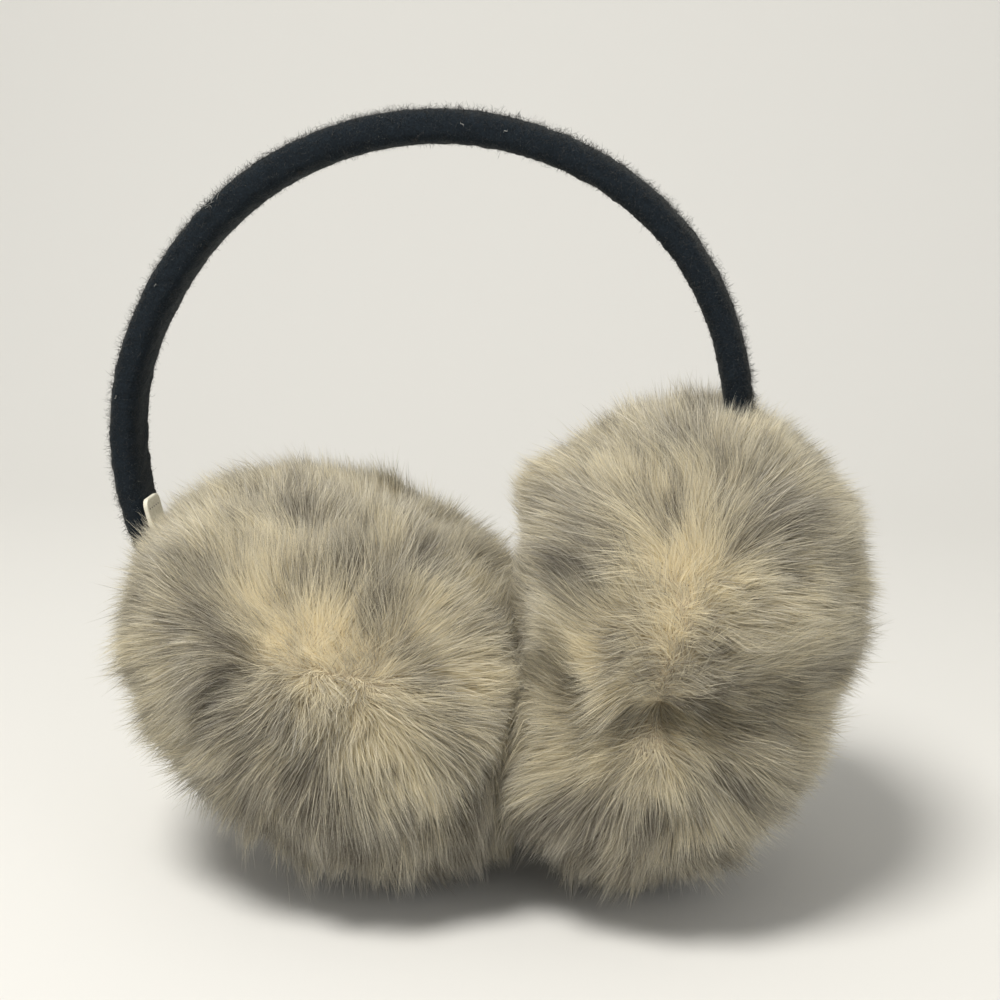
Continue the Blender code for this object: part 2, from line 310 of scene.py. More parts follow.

# Shades: the fur's own, then shares of wide, tuft and fine noise, of streaks, of painted shade on the
# underside and chance
SHADE_OWN = 0.41
SHADE_BROAD = 0.045
SHADE_TUFT = 0.03
SHADE_FINE = 0.03
SHADE_RAYS = 0.09
PAINTED_SHADE_LOW = 0.43
SHADE_CHANCE = 0.19
SHADE_CLUMP = 0.06
STREAKS = 0.020
PATCH_STRETCH = 0.72

# Pressing: the room where it starts, the least room to the other muff and the floor, and the slide
PRESS_START = 0.0045
PRESS_MIDDLE = 0.058
PRESS_SLIDE = 0.6
FUR_ROOM = (-0.0030, 0.0010)
CORE_ROOM = (0.0014, 0.0014)
FLOOR_ROOM = (0.0004, 0.0014)

# Seeds of the clumps, which both coats share
GUIDE_SEED = SEED + 5
GUIDE_GROWTH_SEED = SEED + 6
CLUMP_LENGTH_SEED = SEED + 7
CLUMP_TONE_SEED = SEED + 8

# Studio: half its width, where its floor starts, where it bends up with what radius, and its top
STAGE_HALF = 4.0
STAGE_FRONT = -3.0
STAGE_BACK = 0.35
STAGE_BEND = 0.35
STAGE_TOP = 3.0
LIGHT_AIM = (0, 0, 0.07)
LIGHTS = (
    # name, place, size, energy, colour
    ("key", (-0.22, -0.42, 1.00), 0.36, 10.5, (1.0, 0.98, 0.94)),
    ("fill", (0.75, -0.70, 0.45), 0.8, 1.6, (0.98, 0.99, 1.0)),
)
SKY_COLOUR = (0.99, 0.99, 0.97, 1)
SKY_STRENGTH = 0.36


def unit(rows):
    return rows / np.maximum(np.linalg.norm(rows, axis=-1, keepdims=True), 1e-12)


def smooth(low, high, x):
    t = np.clip((x - low) / (high - low), 0, 1)
    return t * t * (3 - 2 * t)


def squeezed(room, least, start):
    """Room to a wall, where less than start shrinks smoothly towards least."""
    span = start - least
    return np.where(room < start, least + span * np.exp((np.minimum(room, start) - start) / span), room)


class Waves:
    """Smooth noise about 0 over space, from seeded sine waves of about this size."""

    def __init__(self, rng, size, count=28):
        ways = unit(rng.normal(size=(count, 3)))
        self.ways = ways * rng.uniform(0.6, 1.5, (count, 1)) * 2 * math.pi / size
        self.phases = rng.uniform(0, 2 * math.pi, count)
        self.share = math.sqrt(2 / count)

    def __call__(self, places):
        return np.sin(places @ self.ways.T + self.phases).sum(axis=-1) * self.share


def read_table(rows, column, at):
    """A column of a table read between its rows along a smooth curve."""
    rows = np.array(rows)
    x, y = rows[:, 0], rows[:, column]
    slope = np.gradient(y, x)
    at = np.asarray(at, float)
    i = np.clip(np.searchsorted(x, at) - 1, 0, len(x) - 2)
    span = x[i + 1] - x[i]
    t = (at - x[i]) / span
    return (
        (1 + 2 * t) * (1 - t) ** 2 * y[i]
        + t * (1 - t) ** 2 * span * slope[i]
        + t * t * (3 - 2 * t) * y[i + 1]
        + t * t * (t - 1) * span * slope[i + 1]
    )


def add_mesh(name, verts, loops, starts, material, uvs=None, looks=None):
    """A mesh object from flat arrays: corners, each face's corners in turn, and where each face starts."""
    mesh = bpy.data.meshes.new(name)
    mesh.vertices.add(len(verts))
    mesh.vertices.foreach_set("co", np.asarray(verts, np.float32).ravel())
    mesh.loops.add(len(loops))
    mesh.loops.foreach_set("vertex_index", np.asarray(loops, np.int32))
    mesh.polygons.add(len(starts))
    mesh.polygons.foreach_set("loop_start", np.asarray(starts, np.int32))
    mesh.update(calc_edges=True)
    if uvs is not None:
        layer = mesh.uv_layers.new(name="OFBake")
        layer.data.foreach_set("uv", np.asarray(uvs, np.float32)[loops].ravel())
    mesh.shade_smooth()
    if looks is not None:
        mesh.normals_split_custom_set_from_vertices(looks)
    mesh.materials.append(material)
    obj = bpy.data.objects.new(name, mesh)
    bpy.context.scene.collection.objects.link(obj)
    return obj


def ribbons(name, points, sides, widths, material, shades=None, shift=0.0, looks=None):
    """Thin ribbons along points (strand, level, xyz), each ending in a point, lit as if facing looks."""
    count, levels = points.shape[:2]
    half = sides[:, :-1] * widths[:, :-1, None] / 2
    edges = np.stack([points[:, :-1] - half, points[:, :-1] + half], axis=2).reshape(count, -1, 3)
    verts = np.concatenate([edges, points[:, -1:]], axis=1)
    per = verts.shape[1]
    pattern = []
    for k in range(levels - 2):
        pattern += [2 * k, 2 * k + 1, 2 * k + 3, 2 * k + 2]
    pattern += [per - 3, per - 2, per - 1]
    starts = np.arange(levels - 1) * 4
    loops = (np.arange(count)[:, None] * per + pattern).ravel()
    starts = (np.arange(count)[:, None] * len(pattern) + starts).ravel()
    uvs = None
    if shades is not None:
        column = np.clip((shades * SHADES).astype(int), 0, SHADES - 1)
        across = np.array([0.2, 0.8] * (levels - 1) + [0.5])
        along = np.repeat(np.arange(levels - 1), 2).tolist() + [levels - 1]
        u = (column[:, None] + across) / SHADES
        v = np.clip(np.array(along) / (levels - 1) + np.reshape(shift, (-1, 1)), 0.01, 0.99)
        uvs = np.stack([u, np.broadcast_to(v, u.shape)], axis=-1).reshape(-1, 2)
    if looks is not None:
        looks = np.repeat(looks, per, axis=0)
    return add_mesh(name, verts.reshape(-1, 3), loops, starts, material, uvs, looks)


def grid_mesh(name, grid, material, close_ends=False):
    """A tube from rings of points (ring, point, xyz)."""
    rings, per = grid.shape[:2]
    i, j = np.meshgrid(np.arange(rings - 1), np.arange(per), indexing="ij")
    k = (j + 1) % per
    low, high = i * per, (i + 1) * per
    quads = np.stack([low + j, low + k, high + k, high + j], axis=-1).reshape(-1, 4)
    loops = quads.ravel()
    starts = np.arange(len(quads)) * 4
    if close_ends:
        first = np.arange(per)[::-1]
        last = (rings - 1) * per + np.arange(per)
        starts = np.concatenate([starts, [len(loops), len(loops) + per]])
        loops = np.concatenate([loops, first, last])
    return add_mesh(name, grid.reshape(-1, 3), loops, starts, material)


def ball(count, rng, jitter=0.5):
    """Ways spread evenly over a ball, each shifted a little."""
    index = np.arange(count) + 0.5
    height = 1 - 2 * index / count
    turn = math.pi * (1 + math.sqrt(5)) * index
    flat = np.sqrt(1 - height**2)
    ways = np.stack([flat * np.cos(turn), flat * np.sin(turn), height], axis=1)
    return unit(ways + rng.normal(0, jitter / math.sqrt(count), ways.shape) * 2)


class Band:
    """The headband's centre line and section."""

    def __init__(self, muffs):
        turns = np.linspace(0, 1, ARC_STEPS)
        start, end = math.radians(BAND_START), math.radians(BAND_END)
        angles = start + (end - start) * turns
        radius = BAND_RADIUS * read_table(BAND_SECTIONS, 1, turns)
        ways = np.stack([np.cos(angles), 0 * angles, np.sin(angles)], axis=1)
        arc = np.array(BAND_MIDDLE) + radius[:, None] * ways
        ends = []
        for muff, tip, inner in ((muffs[0], arc[0], arc[1]), (muffs[1], arc[-1], arc[-2])):
            ahead = unit(tip - inner)
            inward = unit(muff.centre - tip)
            bend = tip + ahead * BAND_INSET / 2
            far = bend + inward * BAND_INSET / 2
            s = (np.arange(1, INSET_STEPS + 1) / INSET_STEPS)[:, None]
            ends.append(tip * (1 - s) ** 2 + bend * 2 * s * (1 - s) + far * s * s)
        self.places = np.concatenate([ends[0][::-1], arc, ends[1]])
        self.turns = np.concatenate([np.zeros(INSET_STEPS), turns, np.ones(INSET_STEPS)])
        self.ways = unit(np.gradient(self.places, axis=0))
        self.outward = np.stack([-self.ways[:, 2], 0 * self.ways[:, 0], self.ways[:, 0]], axis=1)
        self.half_thick = BAND_THICKNESS / 2 * read_table(BAND_SECTIONS, 2, self.turns)

    def section(self, angle):
        """Shares of the half thickness and half width at an angle round the section."""
        c, s = np.cos(angle), np.sin(angle)
        over = np.sign(s) * np.abs(s) ** (2 / BAND_ROUNDNESS)
        across = np.sign(c) * np.abs(c) ** (2 / BAND_ROUNDNESS)
        return over, across

    def surface(self, at, angle, proud=0.0):
        """Points on the band at an index along it and an angle round it, and the ways out there."""
        i = np.clip(np.round(at).astype(int), 0, len(self.places) - 1)
        over, across = self.section(angle)
        power = BAND_ROUNDNESS - 1
        thick, wide = self.half_thick[i], BAND_WIDTH / 2
        n_over = np.sign(over) * np.abs(over) ** power / thick
        n_across = np.sign(across) * np.abs(across) ** power / wide
        y = np.array([0.0, 1.0, 0.0])
        out = unit(self.outward[i] * n_over[:, None] + y * n_across[:, None])
        place = self.places[i] + self.outward[i] * (over * thick)[:, None] + y * (across * wide)[:, None]
        return place + out * np.reshape(proud, (-1, 1)), out

    def clear(self, points, margin):
        """Moves points that lie inside the band straight out of its section, and says which did."""
        flat = points.reshape(-1, 3)
        near = np.abs(flat[:, 1] - MUFF_Y) < BAND_WIDTH / 2 + margin
        near &= flat[:, 2] > self.places[:, 2].min() - 0.01
        index = np.nonzero(near)[0]
        inside = np.zeros(len(flat), bool)
        for block in np.array_split(index, max(1, len(index) // 4000)):
            if not len(block):
                continue
            gap = flat[block][:, None, [0, 2]] - self.places[None, :, [0, 2]]
            i = (gap**2).sum(axis=2).argmin(axis=1)
            away = flat[block] - self.places[i]
            over = (away * self.outward[i]).sum(axis=1)
            along = (away * self.ways[i]).sum(axis=1)
            thick = self.half_thick[i] + margin
            wide = BAND_WIDTH / 2 + margin
            size = (np.abs(over / thick) ** BAND_ROUNDNESS + np.abs(away[:, 1] / wide) ** BAND_ROUNDNESS)
            size = size ** (1 / BAND_ROUNDNESS)
            hit = (size < 1) & (np.abs(along) < 0.0015)
            part = block[hit]
            grow = 1 / np.maximum(size[hit], 0.12) - 1
            push = self.outward[i[hit]] * (over[hit] * grow)[:, None]
            push[:, 1] += away[hit, 1] * grow
            flat[part] += push
            inside[part] = True
        return flat.reshape(points.shape), inside.reshape(points.shape[:-1])


class Muff:
    """One muff's fur: the skin under it, the way it is combed, its shades and what presses it."""

    def __init__(self, name, across, up, lean, side):
        self.name = name
        self.side = side
        self.centre = np.array([across, MUFF_Y, up])
        turn = math.radians(lean)
        self.axes = np.array([
            [math.cos(turn), 0.0, -math.sin(turn)],
            [0.0, 1.0, 0.0],
            [math.sin(turn), 0.0, math.cos(turn)],
        ])
        self.whorls = np.array([row[1:] for row in WHORLS if row[0] == name]) / ([1000] * 6 + [1])
        self.combed = [self.combed_at(*row[1:]) for row in COMBED if row[0] == name]
        self.patches = [self.patch_at(*row[1:]) for row in TONE_AND_PAINTED_SHADE_PATCHES if row[0] == name]
        self.dents = np.array([row[1:] for row in DENTS if row[0] == name]) / 1000
        rng = np.random.default_rng(SEED + side)
        self.broad = Waves(rng, 0.034)
        self.fine = Waves(rng, 0.009)
        self.sway = Waves(rng, 0.022)
        self.lift = Waves(rng, 0.018)
        self.tuft = Waves(rng, 0.013)
        self.streak = Waves(rng, 0.007)

    def on_front(self, across, height):
        """The place on the front of the fur's outer form, at millimetres across and up."""
        across, height = across / 1000, height / 1000
        away = self.axes @ (across - self.centre[0], 0.0, height - self.centre[2]) / MUFF_HALF
        front = MUFF_HALF[1] * math.sqrt(max(0.02, 1 - away @ away))
        return np.array([across, MUFF_Y - front, height])

    def combed_at(self, across, height, angle, reach, strength):
        """A place where the fur is combed, and the way along its surface at an angle seen from the front."""
        place = self.on_front(across, height)
        normal = ((self.axes @ (place - self.centre)) / MUFF_HALF**2) @ self.axes
        x, z = math.cos(math.radians(angle)), math.sin(math.radians(angle))
        way = unit(np.array([x, -(x * normal[0] + z * normal[2]) / normal[1], z]))
        return place, way, reach / 1000, strength

    def patch_at(self, across, height, reach, depth):
        """A patch's place, its reach in metres, and how dark it is."""
        return self.on_front(across, height), reach / 1000, depth

    def skin(self, ways, depth):
        """The places under the fur's outer form these ways, at this depth, with its fold and dents."""
        tips = ways * MUFF_HALF
        length = np.linalg.norm(tips, axis=1, keepdims=True)
        places = self.centre + (tips * (1 - np.reshape(depth, (-1, 1)) / length)) @ self.axes
        if self.side < 0:
            front = np.maximum(-ways[:, 1], 0)
            height = read_table(CREASE_LINE, 1, front)
            outer = np.clip(0.5 + ways[:, 0] + 0.5 * front, 0, 1)
            fold = CREASE_DEPTH * outer * np.exp(-(((places[:, 2] - height) / CREASE_WIDTH) ** 2))
            fold *= 0.40 + 0.60 * front**0.7
            places = places - fold[:, None] * (ways @ self.axes)
        outer = self.centre + tips @ self.axes
        for x, y, z, reach, fold in self.dents:
            fold = fold * np.exp(-(np.linalg.norm(outer - (x, y, z), axis=1) / reach) ** 2)
            places = places - fold[:, None] * (ways @ self.axes)
        return places

    def normals(self, ways):
        return unit((ways / MUFF_HALF) @ self.axes)

    def flow(self, places, normals):
        """The way the fur is combed, how firmly, and how far the nearest whorl is."""
        total = np.zeros_like(places)
        nearest = np.full(len(places), 1.0)
        for row in self.whorls:
            start, end, strength = row[:3], row[3:6], row[6]
            share = np.clip((places - start) @ (end - start) / ((end - start) @ (end - start)), 0, 1)
            away = places - start - share[:, None] * (end - start)
            far = np.linalg.norm(away, axis=1)
            total += strength * WHORL_PULL * away / (far**2 + WHORL_CORE**2)[:, None]
            nearest = np.minimum(nearest, far)
        above = places + normals * FUR_TOP
        for place, way, reach, strength in self.combed:
            far = np.linalg.norm(above - place, axis=1)
            total += (strength * np.exp(-((far / reach) ** 2)))[:, None] * way
        total -= normals * (total * normals).sum(axis=1, keepdims=True)
        size = np.linalg.norm(total, axis=1)
        return total / np.maximum(size, 1e-9)[:, None], size, nearest

    def near_whorl(self, ways):
        """1 at a whorl, where short fur lies flat on a raised ground, and 0 away from it."""
        _, _, nearest = self.flow(self.skin(ways, WHORL_DEPTH), self.normals(ways))
        return np.exp(-((nearest / WHORL_REACH) ** 2))

    def pressed(self, points, rng, room):
        """Points near the other muff or the floor are squeezed towards it and slide outwards along it."""
        least = rng.uniform(*room, points.shape[:1] + (1,) * (points.ndim - 2))
        spread = points[..., 1:] - (MUFF_Y, PRESS_MIDDLE)
        before = self.side * (WALL_X - points[..., 0])
        after = squeezed(before, least, PRESS_START)
        points[..., 0] = WALL_X - self.side * after
        points[..., 1:] += unit(spread) * ((after - before) * PRESS_SLIDE)[..., None]
        least = rng.uniform(*FLOOR_ROOM, least.shape)
        spread = points[..., :2] - (self.centre[0], MUFF_Y)
        after = squeezed(points[..., 2], least, PRESS_START)
        points[..., :2] += unit(spread) * ((after - points[..., 2]) * PRESS_SLIDE)[..., None]
        points[..., 2] = after
        heights = np.clip(points[..., 2].ravel(), SEAM[0][0], SEAM[-1][0])
        shift = read_table(SEAM, 1, heights).reshape(after.shape) / 1000
        above = smooth(0.080, 0.094, points[..., 2]) * smooth(0.050, 0.025, points[..., 1])
        shift *= np.maximum(smooth(-0.012, -0.040, points[..., 1]), above)
        points[..., 0] += shift * np.exp(-(((points[..., 0] - WALL_X) / SEAM_REACH) ** 2))
        return points

    def shade(self, places, normals, rng):
        """Shades of strands, 0 for the palest: streaks along the fur, patches, some of them painted shade,
        and painted shade on the underside.
        """
        comb, _, nearest = self.flow(places, normals)
        shade = SHADE_OWN + SHADE_BROAD * self.broad(places)
        shade = shade + SHADE_TUFT * self.tuft(places) + SHADE_FINE * self.fine(places)
        rays = self.streak(comb * STREAKS + places * 0.3)
        shade += SHADE_RAYS * rays * smooth(0.004, 0.020, nearest)
        # Painted shade: the fur darkens towards the bottom of each muff
        shade += PAINTED_SHADE_LOW * smooth(0.055, 0.010, places[:, 2])
        edge = np.clip(self.tuft(places) + rays, -1.2, 1.2)
        taken = rng.uniform(0.35, 1.25, len(places))
        seen = places + normals * SEEN_OVER + comb * SEEN_ALONG
        # Patches: the fur's own tone, and painted shade at the marked rows of the table
        for place, reach, depth in self.patches:
            away = seen - place
            along = (away * comb).sum(axis=1)
            far = np.sqrt(np.maximum((away**2).sum(axis=1) - PATCH_STRETCH * along**2, 0)) / reach
            shade += taken * depth * np.exp(-((far * (1.15 + 0.35 * edge)) ** 2))
        return np.clip(shade + rng.normal(0, SHADE_CHANCE, len(places)), 0.0, 0.999)

    def grow(self, coat, ways, rng, loose=1.0):
        """The points of the strands that grow these ways, level by level from root to tip."""
        levels = coat.levels
        count = len(ways)
        normals = self.normals(ways)
        near = self.near_whorl(ways)
        roots = self.skin(ways, coat.depth / 1000 * (1 - WHORL_RAISED * near))
        comb, firm, _ = self.flow(roots, normals)
        side = np.cross(normals, comb)
        firm = smooth(0.05, 0.85, firm)
        turn = 0.38 * self.sway(roots) + 0.18 * self.tuft(roots) + loose * rng.normal(0, 0.30, count)
        turn += near * (1.3 * self.fine(roots * 1.4) + loose * rng.normal(0, 1.2, count))
        comb = unit(comb + side * turn[:, None])
        lie = (coat.lie_tip * firm + LOOSE_LIE * (1 - firm)) * (1 - 0.30 * near)
        lie += 9 * self.lift(roots) + 5 * self.tuft(roots) + loose * rng.normal(0, 10, count)
        stray = loose * (rng.random(count) < STRAY_SHARE)
        lie = np.where(stray > 0, lie * 0.55, lie)
        steps = np.arange(levels - 1)
        share = (steps + 0.5) / (levels - 1)
        lie_root = coat.lie_root + WHORL_LIE * near
        angles = np.radians(lie_root[:, None] + (lie - lie_root)[:, None] * share)
        uneven = loose * rng.normal(0, 0.8, count) + 0.55 * self.tuft(roots)
        height = coat.reach / 1000 * (1 + coat.spread * uneven)
        height *= 1 - 0.12 * (1 - firm)
        height = height * (1 - WHORL_LOWERED * near)
        length = np.minimum(height / np.cos(angles).mean(axis=1), LONGEST_HAIR) * (1 + 0.28 * stray)
        curl = loose * rng.normal(0, 0.16, (count, levels - 1))
        points = [roots]
        for k in steps:
            way = np.cos(angles[:, k])[:, None] * normals + np.sin(angles[:, k])[:, None] * comb
            way = way + side * curl[:, k, None] * share[k]
            way[:, 2] -= 0.20 * share[k]
            points.append(points[-1] + unit(way) * (length / (levels - 1))[:, None])
        return np.stack(points, axis=1), normals

    def clumped(self, coat, points, ways, rng):
        """Strands drawn towards the guide strand of their clump, and the tone of each one's clump."""
        guides = ball(CLUMPS, np.random.default_rng(GUIDE_SEED))
        tree = kdtree.KDTree(CLUMPS)
        for i, way in enumerate(guides):
            tree.insert(way, i)
        tree.balance()
        own = np.array([tree.find(way)[1] for way in ways])
        lines, _ = self.grow(coat, guides, np.random.default_rng(GUIDE_GROWTH_SEED), 0.0)
        share = (np.arange(coat.levels) / (coat.levels - 1)) ** 1.4
        low = smooth(0.058, 0.024, points[:, 0, 2])
        pull = coat.clump * (rng.uniform(0.45, 1.25, len(ways)) * (1 + 0.75 * low))[:, None] * share
        longer = np.random.default_rng(CLUMP_LENGTH_SEED).normal(0, 1, CLUMPS)[own]
        longer = 1 + longer * (0.07 + 0.09 * low)
        guide = lines[own, 0, None] + (lines[own] - lines[own, 0, None]) * longer[:, None, None]
        tones = np.random.default_rng(CLUMP_TONE_SEED).normal(0, SHADE_CLUMP, CLUMPS)[own]
        return points + (guide - points) * pull[..., None], tones

    def faced(self, points, normals, rng):
        """The sides of flat strands, each twisted a little, and the ways that they face to the light."""
        count, levels = points.shape[:2]
        ways = unit(np.gradient(points, axis=1))
        facing = unit(normals + rng.normal(0, 0.18, normals.shape))[:, None]
        sides = unit(np.cross(ways, np.broadcast_to(facing, ways.shape)))
        outs = np.cross(sides, ways)
        twist = rng.uniform(-0.5, 0.5, (count, 1)) + rng.uniform(-0.2, 0.2, (count, 1)) * np.arange(levels)
        sides = sides * np.cos(twist)[..., None] + outs * np.sin(twist)[..., None]
        outs = unit(np.cross(sides, ways).mean(axis=1))
        wrong = (outs * (normals + LIT_FROM)).sum(axis=1) < 0
        sides[wrong] *= -1
        outs[wrong] *= -1
        return sides, outs

    def coat(self, coat, band, tab, rng):
        """A coat's strands: points, sides, widths, shades, shifts of colour along them, and looks."""
        ways = ball(coat.strands, rng)
        points, normals = self.grow(coat, ways, rng)
        points, tones = self.clumped(coat, points, ways, rng)
        shades = np.clip(self.shade(points[:, 0], normals, rng) + tones + coat.tone, 0, 0.999)
        points = self.pressed(points, rng, FUR_ROOM)
        points, hit = band.clear(points, GAP)
        keep = ~hit[:, 0] & ~tab.covers(points)
        points, normals, shades = points[keep], normals[keep], shades[keep]
        sides, outs = self.faced(points, normals, rng)
        taper = np.array([1.0, 1.0, 0.9, 0.0])[-coat.levels:]
        taper[0] = 1.0
        widths = coat.width / 1000 * taper * rng.uniform(0.7, 1.3, (len(points), 1))
        shift = rng.uniform(-0.12, 0.12, len(points))
        looks = unit(normals + coat.own_shading * outs + rng.normal(0, 0.15, normals.shape))
        return points, sides, widths, shades, shift, looks


class Tab:
    """The cloth tab beside the band's left end."""

    def __init__(self, band):
        self.low, self.high = (np.array(corner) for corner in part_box("backing_tab"))
        self.band = band
        steps = np.linalg.norm(np.diff(band.places, axis=0), axis=1)
        self.along = np.concatenate([[0], np.cumsum(steps)])
        self.entry = self.along[INSET_STEPS]

    def covers(self, points):
        """Strands that would lie over the part of the tab that shows."""
        low = self.low + (-0.0010, -0.0080, 0.0104)
        high = self.high + (0.0022, 0.0006, 0.0030)
        inside = ((points > low) & (points < high)).all(axis=2)
        return inside.any(axis=1)

    def place(self, run):
        """The middle of the cloth at a length along the band, and the way towards the band there."""
        i = np.interp(run, self.along, np.arange(len(self.along)))
        steps = np.arange(len(self.along))
        out = unit(np.array([np.interp(i, steps, self.band.outward[:, axis]) for axis in range(3)]))
        place = np.array([np.interp(i, steps, self.band.places[:, axis]) for axis in range(3)])
        seat = np.interp(i, steps, self.band.half_thick) + GAP + TAB_THICKNESS / 2
        return place - out * seat, out

    def build(self, cloth, hole):
        stop = self.entry + TAB_SHOWS
        angles = (np.arange(TAB_SIDES) + 0.5) * 2 * math.pi / TAB_SIDES
        self.build_cloth(cloth, stop, angles)
        self.build_holes(hole, stop - TAB_HOLES_IN, angles[::3])

    def build_cloth(self, cloth, stop, angles):
        """The ribbed cloth, hemmed along its sides and rounded at its corners."""
        across = np.sign(np.cos(angles)) * np.abs(np.cos(angles)) ** (1 / 3)
        over = np.sign(np.sin(angles)) * np.abs(np.sin(angles)) ** (1 / 3)
        rings = []
        for run in np.linspace(self.entry - TAB_HIDDEN, stop - 0.00002, TAB_RINGS):
            place, out = self.place(run)
            rounded = max(0.0, TAB_CORNER - (stop - run))
            half = TAB_WIDTH / 2 - TAB_CORNER + math.sqrt(max(TAB_CORNER**2 - rounded**2, 0.0))
            rib = TAB_RIB_HEIGHT * math.sin(2 * math.pi * run / TAB_RIB)
            hem = TAB_HEM_HEIGHT * smooth(0.75, 1.0, np.abs(across))
            thick = TAB_THICKNESS / 2 * (1 - 0.5 * smooth(0.92, 1.0, rounded / TAB_CORNER)) + rib + hem
            y = across * half - TAB_FORWARD
            rings.append(place + out * (over * thick)[:, None] + np.outer(y, (0, 1, 0)))
        sheet = grid_mesh("backing_tab_cloth", np.array(rings), cloth, True)
        piece(sheet, "cream_cloth", "backing_tab")

    def build_holes(self, hole, run, turn):
        """A row of needle holes, each a shallow dark cup."""
        place, out = self.place(run)
        up = unit(np.cross(out, (0, 1, 0)))
        cups = []
        for y in TAB_HOLES:
            centre = place - out * (TAB_THICKNESS / 2 + 0.00003) + np.array([0, y / 1000 - MUFF_Y, 0])
            ring = centre + np.outer(np.cos(turn) * TAB_HOLE_WIDE, (0, 1, 0))
            ring = ring + np.outer(np.sin(turn) * TAB_HOLE_HIGH, up)
            cups.append(np.stack([ring, ring * 0.5 + centre * 0.5 - out * 0.00004]))
        verts = np.array(cups).reshape(-1, 3)
        per = len(turn)
        loops, starts = [], []
        for base in range(0, len(verts), per * 2):
            for i in range(per):
                j = (i + 1) % per
                starts.append(len(loops))
                loops += [base + i, base + j, base + per + j, base + per + i]
            starts.append(len(loops))
            loops += [base + per + i for i in range(per)]
        piece(add_mesh("backing_tab_needle_holes", verts, loops, starts, hole), "cream_cloth", "backing_tab")


def wire(tree, start, end):
    tree.links.new(start, end)


def add_node(tree, kind, **values):
    node = tree.nodes.new(kind)
    for key, value in values.items():
        setattr(node, key, value)
    return node


def colour_ramp(tree, factor, stops):
    ramp = add_node(tree, "ShaderNodeValToRGB")
    while len(ramp.color_ramp.elements) < len(stops):
        ramp.color_ramp.elements.new(0.5)
    for element, (place, colour) in zip(ramp.color_ramp.elements, stops):
        element.position = place
        element.color = (*colour, 1)
    wire(tree, factor, ramp.inputs["Fac"])
    return ramp.outputs["Color"]


def mixed(tree, factor, one, two):
    node = add_node(tree, "ShaderNodeMix", data_type="RGBA")
    wire(tree, factor, node.inputs[0])
    wire(tree, one, node.inputs[6])
    wire(tree, two, node.inputs[7])
    return node.outputs[2]


def ranged(tree, value, low, high, out_low=0.0, out_high=1.0):
    node = add_node(tree, "ShaderNodeMapRange", interpolation_type="SMOOTHSTEP")
    for key, number in (("From Min", low), ("From Max", high), ("To Min", out_low), ("To Max", out_high)):
        node.inputs[key].default_value = number
    wire(tree, value, node.inputs["Value"])
    return node.outputs["Result"]


def principled(name, **values):
    made = bpy.data.materials.new(name)
    made.use_nodes = True
    shader = made.node_tree.nodes["Principled BSDF"]
    for key, value in values.items():
        shader.inputs[key.replace("_", " ")].default_value = value
    return made, made.node_tree, shader


def fur_material(name, roughness, pale_and_glint):
    """Hair whose colour follows its shade across the strip and changes from root to tip, with light tips
    that are partly painted highlight.
    """
    made, tree, shader = principled(name, Roughness=roughness, Specular_IOR_Level=0.45)
    uv = add_node(tree, "ShaderNodeUVMap", uv_map="OFBake")
    parts = add_node(tree, "ShaderNodeSeparateXYZ")
    wire(tree, uv.outputs["UV"], parts.inputs["Vector"])
    shade, along = parts.outputs["X"], parts.outputs["Y"]
    root = colour_ramp(tree, shade, [
        (0.0, (0.92, 0.84, 0.62)),
        (0.5, (0.74, 0.67, 0.51)),
        (1.0, (0.38, 0.34, 0.26)),
    ])
    body = colour_ramp(tree, shade, [
        (0.0, (0.95, 0.87, 0.66)),
        (0.35, (0.74, 0.68, 0.52)),
        (0.65, (0.42, 0.385, 0.31)),
        (1.0, (0.15, 0.132, 0.105)),
    ])
    # Tips: the hairs' own light ends, made lighter still as painted highlight for the guard hairs' glints
    tip = colour_ramp(tree, shade, [
        (0.0, (0.97, 0.93, 0.80)),
        (0.5, (0.84, 0.81, 0.71)),
        (1.0, (0.46, 0.425, 0.36)),
    ])
    colour = mixed(tree, ranged(tree, along, 0.05, 0.50), root, body)
    colour = mixed(tree, ranged(tree, along, 0.60, 1.0, 0.0, pale_and_glint), colour, tip)
    wire(tree, colour, shader.inputs["Base Color"])
    through = add_node(tree, "ShaderNodeBsdfTranslucent")
    wire(tree, colour, through.inputs["Color"])
    both = add_node(tree, "ShaderNodeMixShader")
    both.inputs["Fac"].default_value = 0.48
    wire(tree, shader.outputs["BSDF"], both.inputs[1])
    wire(tree, through.outputs["BSDF"], both.inputs[2])
    wire(tree, both.outputs["Shader"], tree.nodes["Material Output"].inputs["Surface"])
    return made


def noise_colour(tree, shader, scale, stops, detail=2):
    """Colours a shader by noise that is fixed to the object, and gives the noise."""
    where = add_node(tree, "ShaderNodeTexCoord")
    noise = add_node(tree, "ShaderNodeTexNoise")
    noise.inputs["Scale"].default_value = scale
    noise.inputs["Detail"].default_value = detail
    wire(tree, where.outputs["Object"], noise.inputs["Vector"])
    wire(tree, colour_ramp(tree, noise.outputs["Fac"], stops), shader.inputs["Base Color"])
    return noise.outputs["Fac"]


def roughen(tree, shader, height, strength, distance):
    bump = add_node(tree, "ShaderNodeBump")
    bump.inputs["Strength"].default_value = strength
    bump.inputs["Distance"].default_value = distance
    wire(tree, height, bump.inputs["Height"])
    wire(tree, bump.outputs["Normal"], shader.inputs["Normal"])


# The ground under the fur: the colour of dense underfur with painted shade of the deep fur, so gaps look
# deep
def painted_shade_core_material():
    made, tree, shader = principled("fur_ground_painted_shade", Roughness=0.9)
    noise_colour(tree, shader, 900, [(0.3, (0.34, 0.28, 0.19)), (0.7, (0.52, 0.44, 0.30))])
    return made


